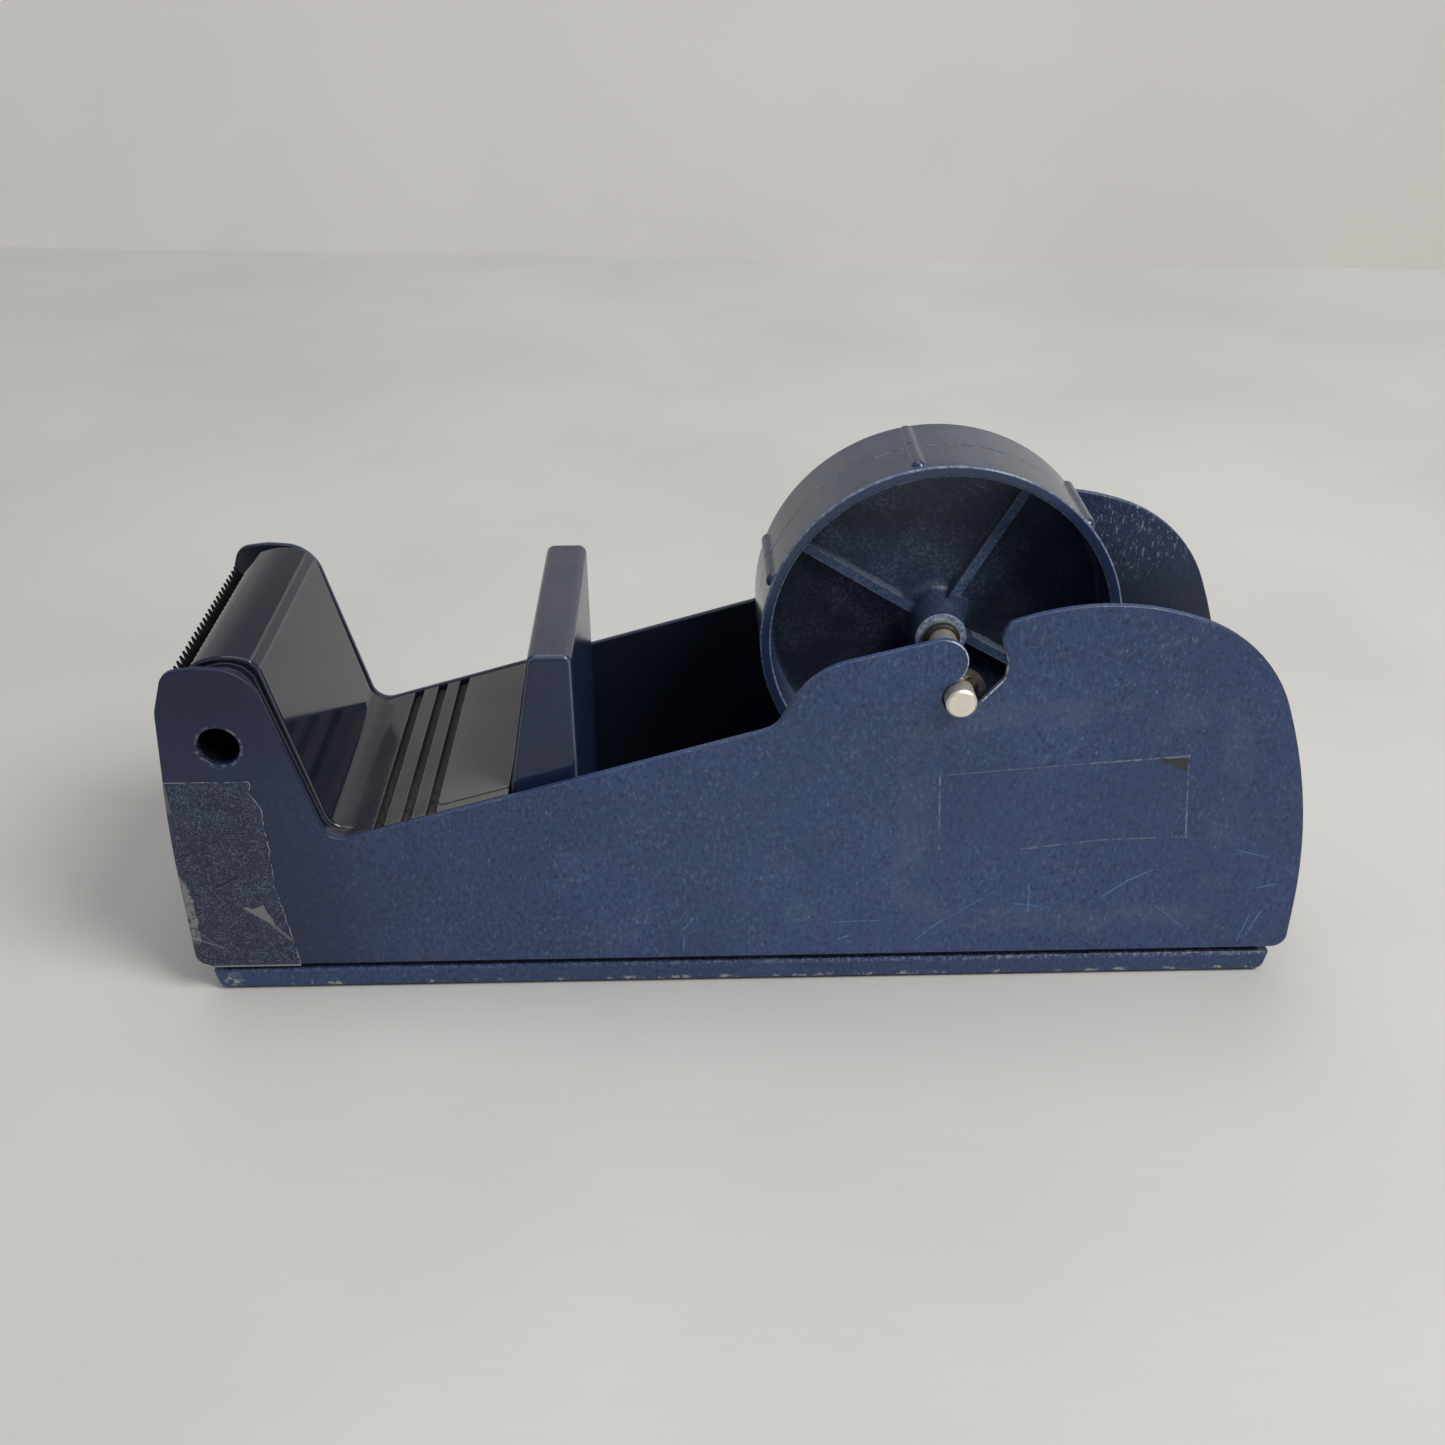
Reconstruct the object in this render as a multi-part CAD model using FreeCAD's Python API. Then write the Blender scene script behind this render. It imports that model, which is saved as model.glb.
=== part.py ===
import FreeCAD
import Part
import math
import os

# Bench tape dispenser for rolls on 76 mm (3 inch) cores. Millimetres, +Z up.
# The cutter is at -X, the roll at +X, and the near side plate at -Y.
# The origin is on the surface it stands on, midway between the plates and their ends.

Vector = FreeCAD.Vector
Y_AXIS = Vector(0, 1, 0)

# ---- driving dimensions -------------------------------------------------------------------
LENGTH = 231.0            # side plates, end to end
WIDTH = 60.5              # over the outer faces of the side plates
SHEET = 1.5               # side plates and floor channel
EDGE_R = 0.35             # rounding along the side plates' edges
PAD_H = 0.6               # non-slip pad under the pan
PAN_TOP = 5.4             # upper edge of the base pan's wall
PLATE_Z = 7.0             # underside of the side plates; heights in outlines count from here

AXLE_X = 41.5             # axle axis, from the origin
AXLE_H = 62.1             # axle axis, above the underside of the side plates
AXLE_R = 3.0
AXLE_END = 33.15          # half the axle's length
NOSE_X = -3.6             # hooked finger's round nose, from the axle axis
NOSE_Z = 7.35
NOSE_R = 4.9
SLOT_WALL = 3.85          # slanted slot wall, distance from the axle axis
SLOT_WALL_ANGLE = 49.0    # slope of that wall, degrees

WHEEL_R = 37.5            # core wheel: 75 mm drum, for a 76.2 mm core over its ribs
WHEEL_WALL = 2.4
WHEEL_Y0 = -5.1           # near face of the rim
WHEEL_W = 25.4
SLEEVE_R = 3.9
SLEEVE_BORE = 3.06        # running fit on the axle

HOUSING_W = 57.0          # moulded housing over its shoulders
PLATFORM_W = 52.6         # rolled tape platform and back face
BRIDGE_W = 54.0
WALL = 2.5                # moulded walls
TUBE_X = -102.3           # front cross tube
TUBE_H = 53.5
TUBE_R = 4.7
TUBE_BORE = 4.1

BLADE_W = 50.8
BLADE_T = 0.5
BLADE_L = 10.6
BLADE_LEAN = 20.0         # degrees forward of upright
BLADE_TIP_X = -110.8
BLADE_TIP_H = 67.2
TOOTH_COUNT = 24          # 12 to the inch
TOOTH_H = 2.5
SEAT_L = 10.8             # blade's seat in the housing, below the tooth tips
CLAMP_TOP = 4.9           # clamp strip's upper edge, below the tooth tips
CLAMP_T = 1.2

# ---- derived dimensions -------------------------------------------------------------------
HALF = WIDTH / 2
INNER = HALF - SHEET
END = LENGTH / 2
AXLE_Z = PLATE_Z + AXLE_H
PAN_FLOOR = 1.2
PAN_X = END - 2.8
PAN_LEAN = 1.0                        # the pan's end walls lean in by this much at the bottom
PAN_Y = HALF - 0.55
SLAB_Z = PAD_H + PAN_FLOOR
MID_Y = WHEEL_Y0 + WHEEL_W / 2
POCKET_R = math.hypot(NOSE_X, NOSE_Z) - NOSE_R
LEAN = math.radians(BLADE_LEAN)
BLADE_DOWN = Vector(math.sin(LEAN), 0, -math.cos(LEAN))
BLADE_IN = Vector(math.cos(LEAN), 0, math.sin(LEAN))
BLADE_TIP = Vector(BLADE_TIP_X, 0, PLATE_Z + BLADE_TIP_H)

# Screws rise through pan, slab and floor channel: (x, y) of each.
BASE_SCREWS = [(x, y) for x in (-20.0, 100.0) for y in (-20.0, 20.0)]
HOUSING_SCREWS = [(-60.0, -23.2), (-60.0, 23.2)]
BRIDGE_SCREWS = [(-40.0, -14.0), (-40.0, 14.0)]
SHANK_R = 1.95
SHANK_HOLE = 2.25
BOSS_R = 3.2
BOSS_TOP = PLATE_Z + 19.0


# ---- helpers ------------------------------------------------------------------------------
def rounded_edges(corners, place):
    """Edges of a closed outline whose corners (a, b, radius) are rounded by tangent arcs.

    place turns a pair (a, b) into a point in space.
    """
    count = len(corners)
    starts, ends, middles = [], [], []
    for i in range(count):
        before, corner, after = corners[i - 1], corners[i], corners[(i + 1) % count]
        here = Vector(corner[0], corner[1], 0)
        back = Vector(before[0], before[1], 0).sub(here).normalize()
        ahead = Vector(after[0], after[1], 0).sub(here).normalize()
        radius = corner[2]
        half = back.getAngle(ahead) / 2
        reach = radius / math.tan(half)
        middle = here + (back + ahead).normalize() * (radius / math.sin(half) - radius)
        starts.append(here + back * reach)
        ends.append(here + ahead * reach)
        middles.append(middle)
    edges = []
    for i in range(count):
        if corners[i][2] > 0:
            arc = Part.Arc(*[place(p.x, p.y) for p in (starts[i], middles[i], ends[i])])
            edges.append(arc.toShape())
        following = starts[(i + 1) % count]
        if ends[i].distanceToPoint(following) > 1e-6:
            line = Part.LineSegment(place(ends[i].x, ends[i].y), place(following.x, following.y))
            edges.append(line.toShape())
    return edges


def rounded_face(corners, place):
    return Part.Face(Part.Wire(rounded_edges(corners, place)))


def across(corners, y0, y1, z0=PLATE_Z):
    """Solid with an (x, height, radius) outline, from y0 to y1; heights count from z0."""
    face = rounded_face(corners, lambda x, z: Vector(x, y0, z0 + z))
    return face.extrude(Vector(0, y1 - y0, 0))


def box(x0, x1, y0, y1, z0, z1):
    return Part.makeBox(x1 - x0, y1 - y0, z1 - z0, Vector(x0, y0, z0))


def rod_y(x, z, radius, y0, y1):
    return Part.makeCylinder(radius, y1 - y0, Vector(x, y0, z), Y_AXIS)


def rod_z(x, y, radius, z0, z1):
    return Part.makeCylinder(radius, z1 - z0, Vector(x, y, z0))


def cut_all(shape, tools):
    for tool in tools:
        shape = shape.cut(tool)
    return shape


def fuse_all(shape, others):
    for other in others:
        shape = shape.fuse(other)
    return shape.removeSplitter()


def mirrored_y(shape):
    return shape.mirror(Vector(0, 0, 0), Y_AXIS)


# ---- side plates --------------------------------------------------------------------------
def slot_corners():
    """Hooked axle slot, from the finger's top round to the rear lip, about the axle axis.

    The nose and the pocket are two tangent arcs, so the axle rolls round the nose.
    """
    span = math.hypot(NOSE_X, NOSE_Z)
    touch_x = NOSE_X * POCKET_R / span
    touch_z = NOSE_Z * POCKET_R / span
    slope = -NOSE_X / NOSE_Z
    front = NOSE_X + NOSE_R
    wall = math.radians(SLOT_WALL_ANGLE)
    wall_x = lambda z: (SLOT_WALL + z * math.cos(wall)) / math.sin(wall)
    wall_z = lambda x: (x * math.sin(wall) - SLOT_WALL) / math.cos(wall)
    return [
        (front, 13.7, NOSE_R),
        (front, touch_z + (front - touch_x) * slope, NOSE_R),
        (-POCKET_R, touch_z + (-POCKET_R - touch_x) * slope, POCKET_R),
        (-POCKET_R, -POCKET_R, POCKET_R),
        (wall_x(-POCKET_R), -POCKET_R, POCKET_R),
        (8.55, wall_z(8.55), 2.6),
        (8.75, 7.6, 4.0),
        (7.1, 12.3, 4.0),
        (8.3, 15.65, 2.0),
    ]


def plate_corners():
    """Outline of a side plate, upright at its lower ends."""
    slot = [(AXLE_X + x, AXLE_H + z, radius) for x, z, radius in slot_corners()]
    front = [
        (-END, 0, 3.0),
        (-END, 33.0, 300.0),
        (-113.3, 61.3, 9.9),
        (-110.5, 69.9, 3.8),
        (-104.2, 70.7, 10.3),
        (-94.2, 70.0, 8.4),
        (-83.85, 30.45, 3.9),
        (5.9, 55.75, 5.5),
        (13.25, 68.4, 16.0),
    ]
    rear = [
        (67.7, 83.7, 51.3),
        (100.2, 74.0, 33.0),
        (END, 35.5, 130.0),
        (END, 0, 3.0),
    ]
    return front + slot + rear


def near_side_plate():
    """Pressed plate with the slot and the front hole; every edge of it is rolled over."""
    plate = across(plate_corners(), -HALF, -INNER)
    plate = plate.cut(rod_y(TUBE_X, PLATE_Z + TUBE_H, TUBE_BORE, -HALF - 1, -INNER + 1))
    rims = [e for e in plate.Edges if e.BoundBox.YLength < 1e-6]
    return plate.makeFillet(EDGE_R, rims)


# ---- base ---------------------------------------------------------------------------------
def screw_holes(radius, z0, z1):
    return [rod_z(x, y, radius, z0, z1) for x, y in BASE_SCREWS + HOUSING_SCREWS + BRIDGE_SCREWS]


def base_pan():
    rim = PAN_TOP - PAD_H
    low = PAN_X - PAN_LEAN
    outline = [(-low, 0, 1.8), (-PAN_X, rim, 0.5), (PAN_X, rim, 0.5), (low, 0, 1.8)]
    pan = across(outline, -PAN_Y, PAN_Y, PAD_H)
    long_edges = [e for e in pan.Edges if e.BoundBox.XLength > LENGTH / 2 and e.BoundBox.ZMax < 1]
    pan = pan.makeFillet(0.6, long_edges)
    end = PAN_X - PAN_FLOOR - PAN_LEAN
    side = PAN_Y - PAN_FLOOR
    hollow = box(-end, end, -side, side, SLAB_Z, PAN_TOP + 1)
    return cut_all(pan, [hollow] + countersinks())


def countersinks():
    cones = []
    for x, y in BASE_SCREWS + HOUSING_SCREWS + BRIDGE_SCREWS:
        cones.append(Part.makeCone(3.75, SHANK_HOLE, PAN_FLOOR + 0.8, Vector(x, y, PAD_H)))
        cones.append(rod_z(x, y, SHANK_HOLE, PAD_H, SLAB_Z + 0.1))
    return cones


def ballast_slab():
    end = PAN_X - PAN_FLOOR - PAN_LEAN - 0.15
    side = PAN_Y - PAN_FLOOR - 0.15
    slab = box(-end, end, -side, side, SLAB_Z, PLATE_Z)
    return cut_all(slab, countersinks() + screw_holes(SHANK_HOLE, SLAB_Z, PLATE_Z))


def base_pad():
    corner = 4.0
    outline = [(x, y, corner) for x, y in ((-105, -26), (105, -26), (105, 26), (-105, 26))]
    return rounded_face(outline, lambda x, y: Vector(x, y, 0)).extrude(Vector(0, 0, PAD_H))


def floor_channel():
    """Folded floor of the roll well: side flanges welded to the plates, and a rear wall."""
    x0, x1, flange_x0 = -110.0, 111.0, -31.5
    floor_top = PLATE_Z + SHEET
    parts = [box(x0, x1, -INNER, INNER, PLATE_Z, floor_top)]
    for side in (-1, 1):
        y0, y1 = sorted((side * INNER, side * (INNER - SHEET)))
        parts.append(box(flange_x0, x1, y0, y1, PLATE_Z, PLATE_Z + 10))
    parts.append(box(x1 - SHEET, x1, -INNER, INNER, PLATE_Z, PLATE_Z + 30))
    channel = fuse_all(parts[0], parts[1:])
    return cut_all(channel, screw_holes(SHANK_HOLE, PLATE_Z - 1, floor_top + 1))


def countersunk_screw(x, y, top):
    head = Part.makeCone(3.6, SHANK_R, 1.9, Vector(x, y, PAD_H))
    slot = box(x - 3.2, x + 3.2, y - 0.4, y + 0.4, PAD_H, PAD_H + 0.8)
    return head.fuse(rod_z(x, y, SHANK_R, PAD_H + 1.9, top)).removeSplitter().cut(slot)


def screw_group(places, top):
    return Part.makeCompound([countersunk_screw(x, y, top) for x, y in places])


def screw_bosses(places, top):
    """Bosses that the screws cut their threads in, and the blind holes in them."""
    posts = [rod_z(x, y, BOSS_R, PLATE_Z + SHEET + 0.1, top) for x, y in places]
    holes = [rod_z(x, y, SHANK_R + 0.05, PLATE_Z, BOSS_TOP - 2) for x, y in places]
    return posts, holes


# ---- front housing ------------------------------------------------------------------------
DECK_X0, DECK_H0 = -83.5, 30.45       # deep corner between the back face and the deck
DECK_X1 = -47.2                       # deck's end, at the bridge
DECK_SLOPE = 0.281
GROOVES = (-73.8, -68.2, -63.05)
GROOVE_W = 2.4
HOUSING_FRONT = -111.3


def deck_height(x):
    return DECK_H0 + (x - DECK_X0) * DECK_SLOPE


def housing_corners(drop):
    """Section of the housing; its platform and back face are set in by drop."""
    seat_top = BLADE_TIP + BLADE_IN * BLADE_T + BLADE_DOWN * 4.2
    seat_low = BLADE_TIP + BLADE_IN * BLADE_T + BLADE_DOWN * SEAT_L
    ledge = (seat_low.x - HOUSING_FRONT) * math.tan(LEAN)
    base = SHEET + 0.1
    return [
        (HOUSING_FRONT, base, 0.5),
        (HOUSING_FRONT, seat_low.z - PLATE_Z - ledge, 1.0),
        (seat_low.x, seat_low.z - PLATE_Z, 0.15),
        (seat_top.x, seat_top.z - PLATE_Z, 0.5),
        (-106.5 + drop / 2, 69.7 - drop, 5.5),
        (-98.6, 71.75 - drop, 13.0 - 4.5 * drop),
        (-94.4 - drop, 70.15 - drop, 0.8),
        (-92.9 - drop, 68.45 - drop, 0.8),
        (DECK_X0 - drop / 2, DECK_H0 - drop / 4, 4.6),
        (DECK_X1, deck_height(DECK_X1) - drop / 4, 0.4),
        (DECK_X1, base, 0.5),
    ]


def housing_cavity():
    front = HOUSING_FRONT + WALL
    seat = BLADE_TIP + BLADE_IN * (BLADE_T + WALL) + BLADE_DOWN * (SEAT_L + WALL)
    ledge = (seat.x - front) * math.tan(LEAN)
    outline = [
        (front, 0, 0),
        (front, seat.z - PLATE_Z - ledge, 1.0),
        (seat.x, seat.z - PLATE_Z, 0.5),
        (-105.4, 65.0, 1.5),
        (-98.6, 68.6, 4.0),
        (-95.4, 66.4, 1.0),
        (DECK_X0 - 2.9, DECK_H0 - 2.0, 4.0),
        (DECK_X1 - WALL, deck_height(DECK_X1) - WALL - 0.9, 1.0),
        (DECK_X1 - WALL, 0, 0),
    ]
    inside = HOUSING_W / 2 - WALL - 0.4
    return across(outline, -inside, inside)


def deck_groove(x):
    """Channel across the deck, along the slope's normal."""
    depth = 1.2
    angle = math.degrees(math.atan(DECK_SLOPE))
    tool = box(-GROOVE_W / 2, GROOVE_W / 2, -HALF, HALF, -depth, 3)
    tool.rotate(Vector(0, 0, 0), Y_AXIS, -angle)
    tool.translate(Vector(x, 0, PLATE_Z + deck_height(x)))
    return tool


def deck_panel():
    """Flat raised panel between the last groove and the bridge."""
    x0 = GROOVES[-1] + GROOVE_W / 2
    x1 = DECK_X1
    half = PLATFORM_W / 2
    rise = 0.35
    outline = [(x0, -half, 1.5), (x0, half, 1.5), (x1, half, 0.3), (x1, -half, 0.3)]
    place = lambda x, y: Vector(x, y, PLATE_Z + deck_height(x) - 0.5)
    return rounded_face(outline, place).extrude(Vector(0, 0, 0.5 + rise))


def front_housing():
    core = across(housing_corners(0), -PLATFORM_W / 2, PLATFORM_W / 2)
    rim = [e for e in core.Edges if on_platform_end(e)]
    core = core.makeFillet(0.7, rim)
    shoulders = across(housing_corners(1.4), -HOUSING_W / 2, HOUSING_W / 2)
    deck = [(DECK_X0, SHEET + 0.1, 0), (DECK_X0, DECK_H0, 0)]
    deck += [(DECK_X1, deck_height(DECK_X1), 0.4), (DECK_X1, SHEET + 0.1, 0)]
    sides = across(deck, -HOUSING_W / 2, HOUSING_W / 2)
    body = core.fuse(shoulders).fuse(sides).cut(housing_cavity())
    tube_post = rod_y(TUBE_X, PLATE_Z + TUBE_H, TUBE_R + 0.7, -HOUSING_W / 2, HOUSING_W / 2)
    posts, holes = screw_bosses(HOUSING_SCREWS, PLATE_Z + 33)
    body = body.fuse(tube_post).fuse(posts[0]).fuse(posts[1]).fuse(deck_panel())
    bore = rod_y(TUBE_X, PLATE_Z + TUBE_H, TUBE_R + 0.05, -HALF, HALF)
    tools = holes + [bore] + [deck_groove(x) for x in GROOVES]
    tools += [blade_rod(y, 0.0, 9.0, 1.25) for y in BLADE_SCREW_Y]
    return cut_all(body, tools).removeSplitter()


def on_platform_end(edge):
    """True for end-face edges of the rolled platform and the slanted back face."""
    bounds = edge.BoundBox
    flat = bounds.YLength < 1e-6
    high = bounds.ZMin > PLATE_Z + DECK_H0 + 3.0
    behind_seat = bounds.XMin > BLADE_TIP_X + 2.5
    return flat and high and behind_seat


# ---- cutter -------------------------------------------------------------------------------
BLADE_SCREW_Y = (-16.0, 16.0)
BLADE_SCREW_DOWN = 7.8
BLADE_HEAD_R = 2.2
BLADE_HEAD_H = 1.4


def blade_point(y, down, inward=0.0):
    point = BLADE_TIP + BLADE_DOWN * down + BLADE_IN * inward
    return Vector(point.x, y, point.z)


def blade_rod(y, start, length, radius):
    """Round tool along the blade's normal at a blade screw, from start inward."""
    return Part.makeCylinder(radius, length, blade_point(y, BLADE_SCREW_DOWN, start), BLADE_IN)


def cutter_blade():
    pitch = BLADE_W / TOOTH_COUNT
    points = [blade_point(BLADE_W / 2, BLADE_L), blade_point(-BLADE_W / 2, BLADE_L)]
    for i in range(TOOTH_COUNT):
        left = -BLADE_W / 2 + i * pitch
        points.append(blade_point(left, TOOTH_H))
        points.append(blade_point(left + pitch / 2, 0))
    points.append(blade_point(BLADE_W / 2, TOOTH_H))
    points.append(points[0])
    blade = Part.Face(Part.makePolygon(points)).extrude(BLADE_IN * BLADE_T)
    return cut_all(blade, [blade_rod(y, -1, 3, 1.7) for y in BLADE_SCREW_Y])


def blade_clamp():
    corners = [(s * (BLADE_W / 2 - 0.4), d, 1.0) for s, d in
               ((-1, CLAMP_TOP), (1, CLAMP_TOP), (1, BLADE_L), (-1, BLADE_L))]
    face = rounded_face(corners, lambda y, down: blade_point(y, down))
    clamp = face.extrude(BLADE_IN * -CLAMP_T)
    return cut_all(clamp, [blade_rod(y, -3, 5, 1.7) for y in BLADE_SCREW_Y])


def blade_screws():
    screws = []
    for y in BLADE_SCREW_Y:
        head = blade_rod(y, -CLAMP_T - BLADE_HEAD_H, BLADE_HEAD_H, BLADE_HEAD_R)
        crown = head.makeFillet(0.7, [e for e in head.Edges if is_outer_ring(e, y)])
        socket = blade_rod(y, -CLAMP_T - BLADE_HEAD_H - 0.1, 0.9, 0.9)
        shank = blade_rod(y, -CLAMP_T, CLAMP_T + BLADE_T + 6.0, 1.2)
        screws.append(crown.fuse(shank).removeSplitter().cut(socket))
    return Part.makeCompound(screws)


def is_outer_ring(edge, y):
    front = blade_point(y, BLADE_SCREW_DOWN, -CLAMP_T - BLADE_HEAD_H)
    return edge.BoundBox.Center.distanceToPoint(front) < 0.3


# ---- bridge, ballast, cross tube ----------------------------------------------------------
def tape_bridge():
    base = SHEET + 0.1
    front, rear, top = -46.9, -33.1, 70.6
    half = BRIDGE_W / 2
    outline = [(front, base, 0.5), (front, 40.9, 2.0), (-41.6, top, 2.0), (rear, top, 1.8),
               (rear, base, 0.5)]
    block = across(outline, -half, half)
    rim = [e for e in block.Edges if e.BoundBox.YLength < 1e-6 and e.BoundBox.ZMax > PLATE_Z + 3]
    block = block.makeFillet(1.2, rim)
    inner = [(front + WALL, 0, 0), (front + WALL, 40.6, 1.0), (-39.6, top - 3, 1.0),
             (rear - WALL, top - 3, 1.0), (rear - WALL, 0, 0)]
    posts, holes = screw_bosses(BRIDGE_SCREWS, PLATE_Z + 56)
    shell = block.cut(across(inner, -half + WALL, half - WALL))
    return cut_all(shell.fuse(posts[0]).fuse(posts[1]), holes).removeSplitter()


def front_ballast():
    outline = [(-107.5, SHEET + 0.2, 1), (-107.5, 44, 3), (-96.0, 44, 3), (-89.8, 24.6, 4),
               (-50.6, 34.8, 2), (-50.6, SHEET + 0.2, 1)]
    return across(outline, -19.5, 19.5)


def front_cross_tube():
    """Tube that ties the plates across the housing, its bore in line with the plates' holes."""
    z = PLATE_Z + TUBE_H
    end = INNER - 0.05
    return rod_y(TUBE_X, z, TUBE_R, -end, end).cut(rod_y(TUBE_X, z, TUBE_BORE, -HALF, HALF))


# ---- axle and what is on it ---------------------------------------------------------------
CLIP_Y = INNER - 0.4 - 0.35           # middle of each E-clip, 0.4 mm inside its plate
CLIP_T = 0.7
CLIP_SEAT = 2.5
RING_WIRE = 0.55
RING_GAP = 0.25
SLEEVE_Y0 = WHEEL_Y0 - 0.3
SLEEVE_Y1 = WHEEL_Y0 + WHEEL_W + 0.3
RING_Y = (SLEEVE_Y0 - RING_GAP - RING_WIRE, SLEEVE_Y1 + RING_GAP + RING_WIRE)
RING_SEAT = 2.68


def axle():
    rod = rod_y(AXLE_X, AXLE_Z, AXLE_R, -AXLE_END, AXLE_END)
    rod = rod.makeChamfer(0.4, [e for e in rod.Edges if e.BoundBox.YLength < 1e-6])
    grooves = [(-CLIP_Y, CLIP_SEAT, CLIP_T + 0.05), (CLIP_Y, CLIP_SEAT, CLIP_T + 0.05)]
    grooves += [(y, RING_SEAT, 2 * RING_WIRE + 0.04) for y in RING_Y]
    for y, seat, width in grooves:
        sleeve = rod_y(AXLE_X, AXLE_Z, AXLE_R + 1, y - width / 2, y + width / 2)
        core = rod_y(AXLE_X, AXLE_Z, seat, y - width / 2, y + width / 2)
        rod = rod.cut(sleeve.cut(core))
    return rod


def axle_clip(y):
    """E-clip: an open ring with three lugs that reach into the axle's groove."""
    low = y - CLIP_T / 2
    high = y + CLIP_T / 2
    ring = rod_y(0, 0, 5.4, low, high).cut(rod_y(0, 0, 4.0, low, high))
    lugs = [clip_lug(angle, low, high) for angle in (90, 205, 335)]
    mouth = box(-4.4, 4.4, low - 1, high + 1, -9, 0)
    tips = [rod_y(4.7 * math.cos(a), 4.7 * math.sin(a), 0.7, low, high)
            for a in (math.radians(-3), math.radians(183))]
    ring = ring.cut(mouth)
    clip = fuse_all(ring, lugs[:1] + tips)
    clip = fuse_all(clip, [clip_lug(angle, low, high) for angle in (12, 168)])
    clip = clip.cut(rod_y(0, 0, CLIP_SEAT + 0.02, low - 1, high + 1))
    clip.rotate(Vector(0, 0, 0), Y_AXIS, 48)
    clip.translate(Vector(AXLE_X, 0, AXLE_Z))
    return clip


def clip_lug(angle, low, high):
    lug = box(2.0, 4.6, low, high, -0.9, 0.9)
    lug.rotate(Vector(0, 0, 0), Y_AXIS, -angle)
    return lug


def hub_ring(y):
    """Round-wire snap ring in the axle's groove, open on the side."""
    ring = Part.makeTorus(RING_SEAT + 0.02 + RING_WIRE, RING_WIRE, Vector(AXLE_X, y, AXLE_Z), Y_AXIS)
    return ring.cut(box(AXLE_X + 1, AXLE_X + 5, y - 1, y + 1, AXLE_Z - 0.6, AXLE_Z + 0.6))


# ---- core wheel ---------------------------------------------------------------------------
SPOKE_ANGLES = (59, 149, 239, 329)
RIB_ANGLES = tuple(40 + 60 * i for i in range(6))
RIB_R = 1.6
RIB_RISE = 1.0
WEB_HALF = 1.2
BOSS_TIP_R = 5.4


def turned_wheel():
    """Rim, web and boss as one turned section about the wheel's axis, mirrored about MID_Y."""
    rim_in = WHEEL_R - WHEEL_WALL
    half = WHEEL_W / 2
    boss = half - 0.5
    upper = [(SLEEVE_R, boss, 0), (BOSS_TIP_R, boss, 0.4), (6.0, WEB_HALF, 2.4),
             (rim_in, WEB_HALF, 1.2), (rim_in + 0.15, half, 0.5), (WHEEL_R, half, 0.4)]
    lower = [(r, -y, radius) for r, y, radius in reversed(upper)]
    face = rounded_face(upper + lower, lambda r, y: Vector(r, MID_Y + y, 0))
    return face.revolve(Vector(0, 0, 0), Y_AXIS, 360)


def spoke(angle, side):
    """Tapered rib on one side of the web, deepest at the boss."""
    thick = 2.0
    outline = [(4.8, 0), (4.8, 4.9), (WHEEL_R - 1.5, 2.9), (WHEEL_R - 1.5, 0)]
    points = [Vector(r, MID_Y + side * y, -thick / 2) for r, y in outline]
    rib = Part.Face(Part.makePolygon(points + points[:1])).extrude(Vector(0, 0, thick))
    rib.rotate(Vector(0, 0, 0), Y_AXIS, -angle)
    return rib


def grip_rib(angle):
    """Half-round rib with domed ends that grips the inside of the core."""
    centre = WHEEL_R + RIB_RISE - RIB_R
    y0 = WHEEL_Y0 + 1.1 + RIB_R
    y1 = WHEEL_Y0 + WHEEL_W - 1.1 - RIB_R
    rib = rod_y(centre, 0, RIB_R, y0, y1)
    for y in (y0, y1):
        rib = rib.fuse(Part.makeSphere(RIB_R, Vector(centre, y, 0)))
    rib.rotate(Vector(0, 0, 0), Y_AXIS, -angle)
    return rib


def core_wheel():
    wheel = turned_wheel()
    spokes = [spoke(angle, side) for angle in SPOKE_ANGLES for side in (-1, 1)]
    wheel = fuse_all(wheel, spokes + [grip_rib(angle) for angle in RIB_ANGLES])
    bore = rod_y(0, 0, SLEEVE_R, WHEEL_Y0 - 1, WHEEL_Y0 + WHEEL_W + 1)
    seam = rod_y(0, 0, WHEEL_R + 3, MID_Y - 0.18, MID_Y + 0.18)
    seam = seam.cut(rod_y(0, 0, WHEEL_R - 0.2, MID_Y - 1, MID_Y + 1))
    wheel = wheel.cut(bore).cut(seam)
    wheel.translate(Vector(AXLE_X, 0, AXLE_Z))
    return wheel


def hub_sleeve():
    outer = rod_y(AXLE_X, AXLE_Z, SLEEVE_R, SLEEVE_Y0, SLEEVE_Y1)
    return outer.cut(rod_y(AXLE_X, AXLE_Z, SLEEVE_BORE, SLEEVE_Y0 - 1, SLEEVE_Y1 + 1))


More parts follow.
